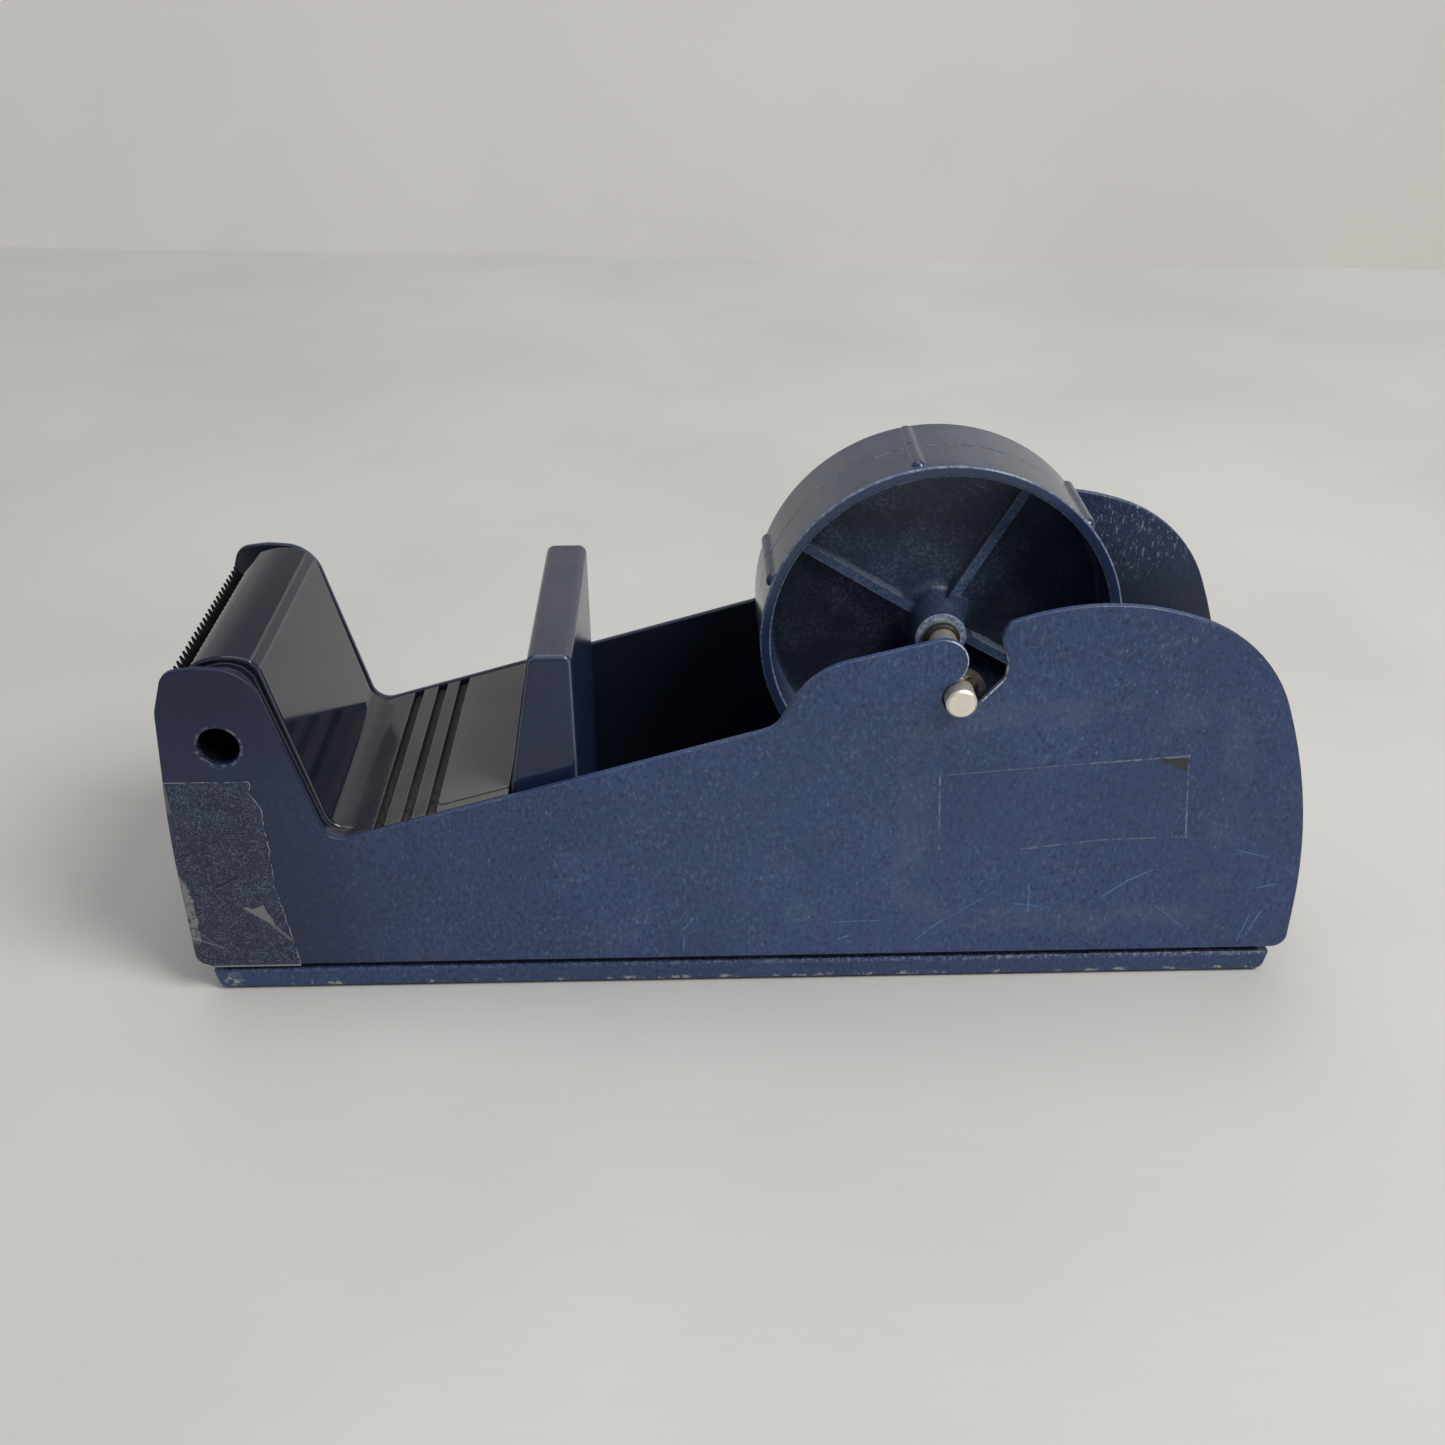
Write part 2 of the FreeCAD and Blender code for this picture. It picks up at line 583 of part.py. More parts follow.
# ---- all sub-parts ------------------------------------------------------------------------
def main():
    near_plate = near_side_plate()
    parts = {
        "near_side_plate": near_plate,
        "far_side_plate": mirrored_y(near_plate),
        "base_pan": base_pan(),
        "ballast_slab": ballast_slab(),
        "base_pad": base_pad(),
        "floor_channel": floor_channel(),
        "base_screws": screw_group(BASE_SCREWS, PLATE_Z + SHEET + 1.2),
        "housing_screws": screw_group(HOUSING_SCREWS, BOSS_TOP - 5),
        "bridge_screws": screw_group(BRIDGE_SCREWS, BOSS_TOP - 5),
        "front_housing": front_housing(),
        "front_ballast": front_ballast(),
        "front_cross_tube": front_cross_tube(),
        "tape_bridge": tape_bridge(),
        "cutter_blade": cutter_blade(),
        "blade_clamp": blade_clamp(),
        "blade_screws": blade_screws(),
        "axle": axle(),
        "near_axle_clip": axle_clip(-CLIP_Y),
        "far_axle_clip": axle_clip(CLIP_Y),
        "near_hub_ring": hub_ring(RING_Y[0]),
        "far_hub_ring": hub_ring(RING_Y[1]),
        "core_wheel": core_wheel(),
        "hub_sleeve": hub_sleeve(),
    }
    os.makedirs("parts", exist_ok=True)
    for name, shape in parts.items():
        shape.exportStep("parts/" + name + ".step")
        print(name, "solids", len(shape.Solids), "valid", shape.isValid(), "mm3", round(shape.Volume))


main()
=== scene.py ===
import math

import bmesh
import bpy
from mathutils import Matrix, Vector, noise


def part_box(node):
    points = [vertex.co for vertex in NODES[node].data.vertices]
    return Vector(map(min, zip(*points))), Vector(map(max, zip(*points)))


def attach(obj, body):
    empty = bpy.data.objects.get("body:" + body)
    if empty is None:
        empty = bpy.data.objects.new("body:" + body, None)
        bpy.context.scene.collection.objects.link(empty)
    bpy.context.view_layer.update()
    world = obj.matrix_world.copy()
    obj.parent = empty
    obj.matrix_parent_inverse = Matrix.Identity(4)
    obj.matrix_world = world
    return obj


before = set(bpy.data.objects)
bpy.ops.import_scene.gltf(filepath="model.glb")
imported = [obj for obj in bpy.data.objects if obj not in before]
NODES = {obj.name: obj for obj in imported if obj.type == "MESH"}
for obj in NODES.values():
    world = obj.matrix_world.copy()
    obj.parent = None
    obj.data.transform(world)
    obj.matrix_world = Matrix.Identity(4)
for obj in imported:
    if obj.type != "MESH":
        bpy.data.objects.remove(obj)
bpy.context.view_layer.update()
MM = 0.001


# ---- places ---------------------------------------------------------------------------------
PLATE_LO, PLATE_HI = [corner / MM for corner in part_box("near_side_plate")]
AXLE_LO, AXLE_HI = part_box("axle")
WHEEL_LO, WHEEL_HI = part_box("core_wheel")
AXLE = (AXLE_LO + AXLE_HI) / 2 / MM
WHEEL_MID = (WHEEL_LO.y + WHEEL_HI.y) / 2 / MM

# All in millimetres; a pair is (x, z).
DRUM_R = 37.5                                       # outside of the wheel's drum
RIM_IN_R = 35.1                                     # inside of its rim
CROSS_HOLE = (-102.3, 60.5)
SLOT_NOSE = (37.9, -30.0, 76.5)                     # round nose of the slot's finger
PLATFORM_EDGES = ((-94.4, 77.15), (-92.9, 75.45))   # rear edges of the tape platform
TAPE_FOOT, TAPE_TOP = 6.6, 52.6                     # ends of the strip of old tape
TAPE_THICK = 0.05


# ---- node graphs ----------------------------------------------------------------------------
class Graph:
    """Adds nodes to one material and links them. Lengths inside a graph are in millimetres."""

    def __init__(self, name):
        self.material = bpy.data.materials.new(name)
        self.material.use_nodes = True
        self.tree = self.material.node_tree
        self.tree.nodes.clear()
        self.surface = self.add("ShaderNodeBsdfPrincipled")
        output = self.add("ShaderNodeOutputMaterial")
        self.tree.links.new(self.surface.outputs["BSDF"], output.inputs["Surface"])
        place = self.add("ShaderNodeTexCoord").outputs["Object"]
        self.place = self.vector("SCALE", place, scale=1000.0)
        split = self.add("ShaderNodeSeparateXYZ")
        self.put(split.inputs[0], self.place)
        self.x, self.y, self.z = split.outputs
        self.geometry = self.add("ShaderNodeNewGeometry")
        normal = self.add("ShaderNodeSeparateXYZ")
        self.put(normal.inputs[0], self.geometry.outputs["Normal"])
        self.nx, self.ny, self.nz = normal.outputs

    def add(self, kind, **settings):
        node = self.tree.nodes.new(kind)
        for key, value in settings.items():
            setattr(node, key, value)
        return node

    def put(self, socket, value):
        """Link a socket to another one, or give it a fixed value."""
        if isinstance(value, bpy.types.NodeSocket):
            self.tree.links.new(value, socket)
        else:
            socket.default_value = value

    def vector(self, operation, a, b=None, scale=None):
        node = self.add("ShaderNodeVectorMath", operation=operation)
        self.put(node.inputs[0], a)
        if b is not None:
            self.put(node.inputs[1], b)
        if scale is not None:
            self.put(node.inputs["Scale"], scale)
        value = operation in ("LENGTH", "DOT_PRODUCT", "DISTANCE")
        return node.outputs["Value" if value else "Vector"]

    def math(self, operation, a, b=0.0, c=0.0, clamp=False):
        node = self.add("ShaderNodeMath", operation=operation, use_clamp=clamp)
        for socket, value in zip(node.inputs, (a, b, c)):
            self.put(socket, value)
        return node.outputs[0]

    def off(self, value, centre):
        """How far a value is from centre, either way."""
        return self.math("ABSOLUTE", self.math("SUBTRACT", value, centre))

    def from_line(self, x, z):
        """Distance from the line that runs across the object at (x, z)."""
        flat = self.vector("MULTIPLY", self.place, (1, 0, 1))
        return self.vector("DISTANCE", flat, (x, 0, z))

    def both(self, *masks):
        """Product of the masks: where all of them are."""
        result = masks[0]
        for mask in masks[1:]:
            result = self.math("MULTIPLY", result, mask)
        return result

    def either(self, *masks):
        """Largest of the masks: where any of them is."""
        result = masks[0]
        for mask in masks[1:]:
            result = self.math("MAXIMUM", result, mask)
        return result

    def ramp(self, value, low, high, to_low=0.0, to_high=1.0):
        """Smooth step from low to high, either way round."""
        node = self.add("ShaderNodeMapRange", interpolation_type="SMOOTHSTEP")
        for socket, item in zip(node.inputs, (value, low, high, to_low, to_high)):
            self.put(socket, item)
        return node.outputs[0]

    def band(self, value, low, high, soft):
        """1 between low and high, falling to 0 over soft outside them."""
        return self.both(self.ramp(value, low - soft, low), self.ramp(value, high + soft, high))

    def mix(self, factor, a, b):
        node = self.add("ShaderNodeMix", data_type="RGBA", clamp_factor=True)
        self.put(node.inputs[0], factor)
        for socket, colour in ((node.inputs[6], a), (node.inputs[7], b)):
            linked = isinstance(colour, bpy.types.NodeSocket)
            self.put(socket, colour if linked else (*colour, 1.0))
        return node.outputs[2]

    def stretched(self, stretch, shift):
        moved = self.vector("ADD", self.place, shift)
        return self.vector("MULTIPLY", moved, stretch)

    def noise(self, size, detail=2.0, rough=0.5, stretch=(1, 1, 1), shift=(0, 0, 0)):
        """Cloudy value near 0.5 with features of about size millimetres."""
        node = self.add("ShaderNodeTexNoise")
        self.put(node.inputs["Vector"], self.stretched(stretch, shift))
        node.inputs["Scale"].default_value = 1.0 / size
        node.inputs["Detail"].default_value = detail
        node.inputs["Roughness"].default_value = rough
        return node.outputs["Fac"]

    def specks(self, pitch, radius, share, stretch=(1, 1, 1), shift=(0, 0, 0)):
        """Small spots: one cell in share carries a spot of the radius, in millimetres."""
        node = self.add("ShaderNodeTexVoronoi")
        self.put(node.inputs["Vector"], self.stretched(stretch, shift))
        node.inputs["Scale"].default_value = 1.0 / pitch
        chosen = self.add("ShaderNodeSeparateColor")
        self.put(chosen.inputs[0], node.outputs["Color"])
        on = self.math("LESS_THAN", chosen.outputs[0], share)
        size = radius / pitch
        spot = self.ramp(node.outputs["Distance"], size, size * 0.4)
        return self.both(on, spot)

    def line(self, start, end, width, fade=0.35):
        """Scratch between two (x, z) points on a side plate, broken up along its length."""
        x0, z0 = start
        dx, dz = end[0] - x0, end[1] - z0
        length = math.hypot(dx, dz)
        along = self.math("MULTIPLY_ADD", self.x, dx / length, -(x0 * dx + z0 * dz) / length)
        along = self.math("MULTIPLY_ADD", self.z, dz / length, along)
        across = self.math("MULTIPLY_ADD", self.x, -dz / length, (x0 * dz - z0 * dx) / length)
        across = self.math("MULTIPLY_ADD", self.z, dx / length, across)
        near = self.ramp(self.math("ABSOLUTE", across), width, width * fade)
        return self.both(near, self.band(along, 0.0, length, 0.8))

    def worn_edge(self, radius, low=0.04, high=0.3):
        """Mask of the edges, where a rounded normal leaves the flat one."""
        bevel = self.add("ShaderNodeBevel", samples=6)
        bevel.inputs["Radius"].default_value = radius * MM
        cosine = self.vector("DOT_PRODUCT", bevel.outputs[0], self.geometry.outputs["Normal"])
        bend = self.math("SUBTRACT", 1.0, cosine)
        return self.ramp(bend, low, high)

    def bump(self, height, strength, distance):
        """Roughen the surface by a height; distance is in millimetres."""
        node = self.add("ShaderNodeBump")
        node.inputs["Strength"].default_value = strength
        node.inputs["Distance"].default_value = distance * MM
        self.put(node.inputs["Height"], height)
        self.put(self.surface.inputs["Normal"], node.outputs[0])

    def finish(self, colour, roughness, **fixed):
        self.put(self.surface.inputs["Base Color"], colour)
        self.put(self.surface.inputs["Roughness"], roughness)
        for key, value in fixed.items():
            self.surface.inputs[key.replace("_", " ")].default_value = value
        return self.material


# ---- painted sheet --------------------------------------------------------------------------
NAVY = (0.031, 0.066, 0.180)
NAVY_DARK = (0.025, 0.057, 0.152)
NAVY_PALE = (0.095, 0.150, 0.27)
DUST = (0.17, 0.18, 0.20)
SCRATCH_BLUE = (0.085, 0.24, 0.52)
SCUFF = (0.19, 0.27, 0.43)
CHIP = (0.42, 0.41, 0.38)

# Scratches on the near plate, as (x, z) runs in millimetres with a width.
SCRATCHES = [
    ((74.8, 21.1), (79.5, 25.0), 0.22), ((79.5, 25.0), (84.1, 27.5), 0.22),
    ((59.1, 24.1), (59.5, 18.1), 0.22), ((56.5, 19.6), (61.0, 18.9), 0.16),
    ((36.3, 10.7), (41.0, 15.1), 0.16), ((41.0, 15.1), (52.0, 22.6), 0.10),
    ((106.7, 10.9), (108.6, 16.0), 0.20), ((105.0, 9.2), (106.3, 15.0), 0.16),
    ((107.2, 22.6), (110.9, 23.5), 0.14), ((101.3, 32.2), (107.5, 30.4), 0.12),
    ((86.5, 18.2), (92.1, 13.3), 0.10),
    ((-12.9, 14.2), (-10.8, 16.8), 0.18), ((-12.8, 9.2), (-12.7, 11.8), 0.22),
    ((19.1, 15.6), (28.1, 15.9), 0.14), ((20.2, 11.2), (21.5, 11.8), 0.30),
]
# Residue left round a removed label.
LABEL = [
    ((38.8, 51.4), (68.7, 53.7), 0.14), ((68.7, 53.7), (88.0, 55.0), 0.26),
    ((88.0, 55.0), (90.1, 35.8), 0.24), ((90.1, 35.8), (72.4, 35.3), 0.20),
    ((72.4, 35.3), (57.0, 33.4), 0.18), ((38.8, 51.4), (39.8, 34.1), 0.22),
]


def paint_base(g, seed=0.0):
    """Navy enamel: finely mottled, with short upright scuffs, specks and paler edges."""
    shift = (seed, seed * 0.7, seed * 1.3)
    broad = g.noise(34.0, 3.0, 0.55, shift=shift)
    cloud = g.noise(9.0, 4.0, 0.6, shift=shift)
    colour = g.mix(g.ramp(broad, 0.40, 0.62), NAVY_DARK, NAVY)
    tint = g.noise(5.0, 3.0, 0.6, shift=(shift[0], shift[1] + 40.0, shift[2]))
    colour = g.mix(g.both(g.ramp(tint, 0.45, 0.7), 0.5), colour, (0.034, 0.052, 0.150))
    grain = g.noise(0.8, 3.0, 0.75, stretch=(1, 1, 0.6), shift=shift)
    colour = g.mix(g.both(g.ramp(grain, 0.47, 0.32), 0.9), colour, (0.010, 0.018, 0.066))
    colour = g.mix(g.both(g.ramp(grain, 0.53, 0.68), g.ramp(cloud, 0.3, 0.65, 0.3, 0.75)),
                   colour, NAVY_PALE)
    colour = g.mix(g.both(g.ramp(cloud, 0.48, 0.75), 0.06), colour, DUST)
    colour = g.mix(arcs(g, shift), colour, NAVY_PALE)
    dashes = g.specks(1.1, 0.22, 0.26, stretch=(1, 1, 0.40), shift=shift)
    flecks = g.specks(3.3, 0.28, 0.26, stretch=(1, 1, 0.45), shift=shift)
    dots = g.specks(1.7, 0.20, 0.20, shift=shift)
    patchy = g.ramp(cloud, 0.38, 0.62, 0.15, 1.0)
    marks = g.either(g.both(dashes, patchy, 0.7), g.both(flecks, 0.8), g.both(dots, 0.9))
    colour = g.mix(g.both(marks, 0.75), colour, SCUFF)
    edge = g.worn_edge(0.45)
    broken = g.ramp(g.noise(1.6, 4.0, 0.7, shift=shift), 0.44, 0.62)
    colour = g.mix(g.both(edge, broken, 0.35), colour, (0.17, 0.19, 0.24))
    rough = g.math("MULTIPLY_ADD", cloud, 0.16, 0.36)
    rough = g.math("ADD", rough, g.both(marks, 0.2))
    peel = g.noise(0.55, 2.0, 0.5, shift=shift)
    height = g.math("MULTIPLY_ADD", g.noise(7.0, 1.0, 0.5, shift=shift), 3.0, peel)
    return colour, rough, height, cloud, broken


def arcs(g, shift):
    """Faint long wiping marks, parts of large circles about a point below the object."""
    far = g.vector("DISTANCE", g.place, (-30.0, 0.0, -140.0))
    ring = g.add("ShaderNodeCombineXYZ")
    g.put(ring.inputs[0], far)
    waves = g.add("ShaderNodeTexNoise")
    g.put(waves.inputs["Vector"], ring.outputs[0])
    waves.inputs["Scale"].default_value = 0.9
    waves.inputs["Detail"].default_value = 3.0
    here = g.ramp(g.noise(22.0, 3.0, 0.6, shift=(shift[0] + 5.0, 0, 3.0)), 0.45, 0.75)
    return g.both(g.ramp(waves.outputs["Fac"], 0.56, 0.7), here, 0.3)


def near_plate_paint():
    """The enamel with rolled edges, painted light and shade, slot wear, scratches, a label's
    outline, dirt and chips.
    """
    g = Graph("navy_paint_near_plate")
    colour, rough, height, cloud, broken = paint_base(g)
    outer = g.ramp(g.ny, -0.6, -0.9)
    rolled = g.band(g.ny, -0.92, -0.2, 0.06)
    colour = rolled_edges_and_painted_light(g, colour, rolled, cloud)
    colour = slot_wear(g, colour, rolled)
    # Scratches show the bright blue under-layer.
    cut = g.either(*[g.line(*run) for run in SCRATCHES])
    cut = g.both(cut, outer, g.ramp(g.noise(0.7, 3.0, 0.7), 0.34, 0.5))
    colour = g.mix(g.both(cut, 0.8), colour, SCRATCH_BLUE)
    clean = g.both(g.band(g.x, 39.5, 89.0, 0.3), g.band(g.z, 35.0, 53.5, 0.8), outer)
    colour = label_trace(g, colour, outer, cloud, clean)
    colour = plate_dirt(g, colour, outer, broken)
    g.bump(height, 0.10, 0.12)
    rough = g.math("ADD", rough, g.both(clean, -0.06))
    return g.finish(colour, rough)


def rolled_edges_and_painted_light(g, colour, rolled, cloud):
    """Dull rolled edges, and painted light and shade: the face paler amid, darker at both ends and
    darkest at the front top, with painted shadow on the rolled edges that face the rear.
    """
    colour = g.mix(g.both(rolled, g.ramp(cloud, 0.3, 0.6, 0.3, 0.6)), colour,
                   (0.060, 0.066, 0.095))
    tips = g.both(rolled, g.ramp(g.noise(0.9, 4.0, 0.8, shift=(8, 1, 4)), 0.56, 0.66))
    colour = g.mix(g.both(tips, 0.5), colour, (0.34, 0.37, 0.42))
    # Painted light: paler round the middle of the face.
    middle = g.ramp(g.from_line(12.0, 30.0), 60.0, 10.0)
    colour = g.mix(g.both(middle, 0.10), colour, NAVY_PALE)
    # Painted shade: darker towards the rear end.
    colour = g.mix(g.both(g.ramp(g.x, 66.0, 104.0), 0.25), colour, (0.016, 0.034, 0.120))
    # Painted shade: darker towards the front, darkest high up at the front.
    painted_front_shade = g.ramp(g.x, -35.0, -100.0)
    colour = g.mix(g.both(painted_front_shade, 0.50), colour, (0.013, 0.019, 0.052))
    painted_crown_shade = g.both(g.ramp(g.x, -70.0, -98.0), g.ramp(g.z, 46.0, 72.0, 0.6, 0.92))
    colour = g.mix(painted_crown_shade, colour, (0.004, 0.009, 0.042))
    # Painted shadow on the rolled edges that face the rear.
    under = g.both(rolled, g.ramp(g.nx, 0.15, 0.4))
    return g.mix(g.both(under, 0.8), colour, (0.012, 0.012, 0.014))


def slot_wear(g, colour, rolled):
    """The axle has rubbed the slot's rear wall and the finger's nose down to pale metal."""
    dx = g.math("SUBTRACT", g.x, AXLE.x)
    dz = g.math("SUBTRACT", g.z, AXLE.z)
    rear = g.both(g.ramp(dx, 3.4, 4.4), g.ramp(dx, 12.5, 11.0), g.band(dz, -3.0, 8.5, 1.5))
    nose = g.vector("DISTANCE", g.place, SLOT_NOSE)
    nose = g.both(g.ramp(nose, 5.6, 5.3), g.ramp(dz, 3.0, 5.0), g.ramp(dx, -4.0, -1.0))
    worn = g.either(rear, nose)
    grain = g.ramp(g.noise(0.8, 3.0, 0.7, shift=(2, 5, 9)), 0.36, 0.52)
    return g.mix(g.both(rolled, worn, grain, 0.85), colour, (0.55, 0.58, 0.62))


def label_trace(g, colour, outer, cloud, clean):
    """What a label left: residue along its outline, cleaner paint inside, and old adhesive."""
    # A larger sticker once sat round the label and left a faint pale border.
    middles = ((g.x, 66.0, 22.0), (g.z, 40.0, 15.0))
    beyond = [g.math("SUBTRACT", g.off(value, middle), half) for value, middle, half in middles]
    across, upward = [g.math("MAXIMUM", reach, 0.0) for reach in beyond]
    border = g.math("MULTIPLY", upward, upward)
    border = g.math("SQRT", g.math("MULTIPLY_ADD", across, across, border))
    border = g.both(g.band(border, 7.5, 12.0, 2.0), g.ramp(cloud, 0.35, 0.6), outer)
    colour = g.mix(g.both(border, 0.16), colour, (0.12, 0.15, 0.22))
    label = g.either(*[g.line(*run) for run in LABEL])
    label = g.both(label, outer, g.ramp(g.noise(1.3, 4.0, 0.75), 0.4, 0.56))
    colour = g.mix(g.both(label, 0.5), colour, (0.36, 0.38, 0.39))
    colour = g.mix(g.both(clean, 0.3), colour, (0.020, 0.046, 0.140))
    # Dark wedge of old adhesive in the label's upper corner.
    wedge = g.math("MULTIPLY_ADD", g.x, 0.42, g.math("SUBTRACT", g.z, 89.0))
    wedge = g.math("MULTIPLY_ADD", g.noise(1.2, 4.0, 0.7), 2.4, g.math("SUBTRACT", wedge, 0.9))
    corner = g.both(g.ramp(wedge, -0.6, 0.2), g.ramp(g.x, 88.3, 87.9), g.ramp(g.z, 54.7, 54.3),
                    outer)
    return g.mix(g.both(corner, 0.9), colour, (0.030, 0.027, 0.025))


def plate_dirt(g, colour, outer, broken):
    """A rubbed spot, a brown smudge, wear round the cross hole, and a chipped front edge."""
    spot = g.vector("DISTANCE", g.place, (11.3, -30.2, 17.9))
    rub = g.ramp(g.noise(0.8, 4.0, 0.8, stretch=(0.5, 1, 1)), 0.46, 0.6)
    colour = g.mix(g.both(g.ramp(spot, 4.5, 1.5), rub, 0.4), colour, (0.12, 0.18, 0.26))
    smudge = g.both(g.ramp(g.off(g.x, -64.0), 5.0, 1.0), g.ramp(g.z, 11.0, 8.0), outer)
    colour = g.mix(g.both(smudge, broken, 0.5), colour, (0.06, 0.045, 0.03))
    ring = g.both(g.band(g.from_line(*CROSS_HOLE), 4.2, 4.75, 0.15),
                  g.ramp(g.noise(1.1, 4.0, 0.7, shift=(3, 3, 3)), 0.48, 0.58))
    colour = g.mix(g.both(ring, 0.45), colour, (0.22, 0.26, 0.34))
    front = g.both(g.ramp(g.x, -114.0, -115.2), g.ramp(g.z, 52.0, 14.0))
    return g.mix(g.both(front, broken, 0.75), colour, (0.34, 0.35, 0.36))


def far_plate_paint():
    """As the near plate, with painted shade on its inner face: darker all over, near black far down
    in the well and at the front.
    """
    g = Graph("navy_paint_far_plate")
    colour, rough, height, _, _ = paint_base(g, seed=61.0)
    # Painted shade: the inner face darkened, most far down the well and towards the front.
    inside = g.ramp(g.y, 29.6, 29.2)
    painted_well_shade = g.both(inside, g.ramp(g.z, 84.0, 55.0), g.ramp(g.x, 112.0, 70.0, 0.55, 1.0))
    colour = g.mix(g.both(painted_well_shade, 0.92), colour, (0.003, 0.003, 0.006))
    colour = g.mix(g.both(inside, 0.55), colour, (0.012, 0.016, 0.038))
    front = g.both(inside, g.ramp(g.x, -88.0, -96.0))
    colour = g.mix(g.both(front, 0.85), colour, (0.006, 0.007, 0.013))
    # Scuffed streaks high on the inner face, behind the wheel.
    away = g.vector("DISTANCE", g.place, (91.0, 28.0, 82.0))
    streaks = g.ramp(g.noise(0.8, 4.0, 0.8, stretch=(1.0, 1.0, 0.35)), 0.54, 0.64)
    patch = g.both(g.ramp(away, 20.0, 5.0), streaks)
    colour = g.mix(g.both(patch, 0.75), colour, (0.36, 0.40, 0.46))
    g.bump(height, 0.10, 0.12)
    return g.finish(colour, rough)


def pan_paint():
    """A little painted shade over it all; rubbed along the wall's top edge, chipped along its foot
    and at the front corner.
    """
    g = Graph("navy_paint_pan")
    colour, rough, height, _, _ = paint_base(g, seed=23.0)
    # Painted shade: the whole pan a little darker than the plates.
    colour = g.mix(0.15, colour, (0.012, 0.022, 0.070))
    # Bright flecks where the wall's top edge has rubbed, more towards the roll end.
    rub = g.both(g.ramp(g.z, 4.3, 4.8), g.ramp(g.noise(0.7, 4.0, 0.8), 0.50, 0.60),
                 g.ramp(g.x, -60.0, 100.0, 0.35, 1.0))
    colour = g.mix(g.both(rub, 0.75), colour, (0.32, 0.34, 0.40))
    low = g.both(g.ramp(g.z, 2.0, 1.5), g.ramp(g.noise(3.5, 4.0, 0.75), 0.54, 0.60))
    colour = g.mix(g.both(low, 0.7), colour, CHIP)
    corner = g.vector("DISTANCE", g.place, (-108.6, -29.5, 2.4))
    chip = g.both(g.ramp(corner, 2.8, 1.0), g.ramp(g.noise(1.3, 3.0, 0.7), 0.46, 0.54))
    colour = g.mix(g.both(chip, 0.75), colour, (0.40, 0.38, 0.33))
    g.bump(height, 0.14, 0.12)
    return g.finish(colour, rough)


def channel_paint():
    """Navy outside at the rear; elsewhere painted shade makes it nearly black inside the well."""
    g = Graph("channel_paint")
    colour, rough, height, cloud, _ = paint_base(g, seed=90.0)
    outside = g.both(g.ramp(g.nx, 0.5, 0.8), g.ramp(g.x, 100.0, 103.0))
    # Painted shade: all but the rear outer face darkened to near black.
    colour = g.mix(g.ramp(outside, 0.0, 1.0, 0.93, 0.0), colour, (0.002, 0.002, 0.004))
    dust = g.both(g.ramp(g.nz, 0.7, 0.95), g.ramp(cloud, 0.35, 0.75), 0.05)
    colour = g.mix(dust, colour, DUST)
    g.bump(height, 0.10, 0.12)
    return g.finish(colour, rough)


# ---- mouldings ------------------------------------------------------------------------------
MOULD = (0.0075, 0.0095, 0.022)
MOULD_BLUE = (0.015, 0.025, 0.066)
GREY_DUST = (0.128, 0.118, 0.108)
LINT = (0.36, 0.36, 0.35)


def moulding(name, base, dust_level, deck=False):
    """Glossy near-black navy moulding, with dust where it faces up, paler worn edges and a painted
    highlight along its rounded edges.

    deck is for the housing: its platform is clean, and its deck has grooves and a panel.
    """
    g = Graph(name)
    cloud = g.noise(11.0, 4.0, 0.6)
    fine = g.noise(0.9, 4.0, 0.7)
    film = g.both(g.ramp(g.nz, 0.55, 0.9), g.ramp(cloud, 0.2, 0.8, 0.55, 1.0),
                  g.ramp(fine, 0.2, 0.8, 0.6, 1.0), dust_level)
    if deck:
        film = g.both(film, g.ramp(g.x, -92.0, -88.0, 0.03, 1.0),
                      g.ramp(g.x, -76.5, -73.5, 0.30, 1.0))
    colour = g.mix(film, base, GREY_DUST)
    lint = g.either(g.specks(1.3, 0.17, 0.14), g.both(g.specks(3.3, 0.26, 0.16), 0.8))
    lint = g.both(lint, g.either(g.ramp(g.nz, 0.1, 0.7, 0.2, 1.0),
                                 g.ramp(g.nx, 0.5, 0.8, 0.0, 0.6)))
    colour = g.mix(g.both(lint, 0.35), colour, LINT)
    # Painted highlight along the rounded edges at the ends.
    crest_highlight = g.both(g.band(g.math("ABSOLUTE", g.ny), 0.60, 0.82, 0.06),
                   g.ramp(g.nz, 0.66, 0.5, 0.3, 1.0))
    # On the housing, worn paint and painted highlight along the platform's rear edges.
    if deck:
        crest_highlight = g.either(g.both(crest_highlight, 0.4), *[ridge_wear_and_highlight(g, x, z) for x, z in PLATFORM_EDGES])
    edge = g.either(g.worn_edge(0.45, 0.006, 0.05), crest_highlight)
    edge = g.both(edge, g.ramp(fine, 0.25, 0.55, 0.55, 1.0))
    # Worn edges and the painted highlights take one pale colour.
    colour = g.mix(g.both(edge, 0.5), colour, (0.20, 0.21, 0.235) if deck else (0.19, 0.21, 0.27))
    rough = g.math("MULTIPLY_ADD", cloud, 0.06, 0.07)
    rough = g.math("MULTIPLY_ADD", film, 0.75, rough)
    height = g.math("MULTIPLY_ADD", g.noise(14.0, 1.0), 2.0, g.both(fine, film, 1.2))
    if deck:
        colour, rough = deck_marks(g, colour, rough, fine)
    else:
        rough = g.math("ADD", rough, g.ramp(g.nx, 0.6, 0.85, 0.0, 0.14))
    g.bump(height, 0.08, 0.2)
    return g.finish(colour, rough, Specular_IOR_Level=0.58 if deck else 0.46)


def ridge_wear_and_highlight(g, x, z):
    """Thin pale band about an edge that runs across the object at (x, z): worn paint and painted
    highlight.
    """
    return g.ramp(g.from_line(x, z), 0.34, 0.18, 0.0, 0.55)


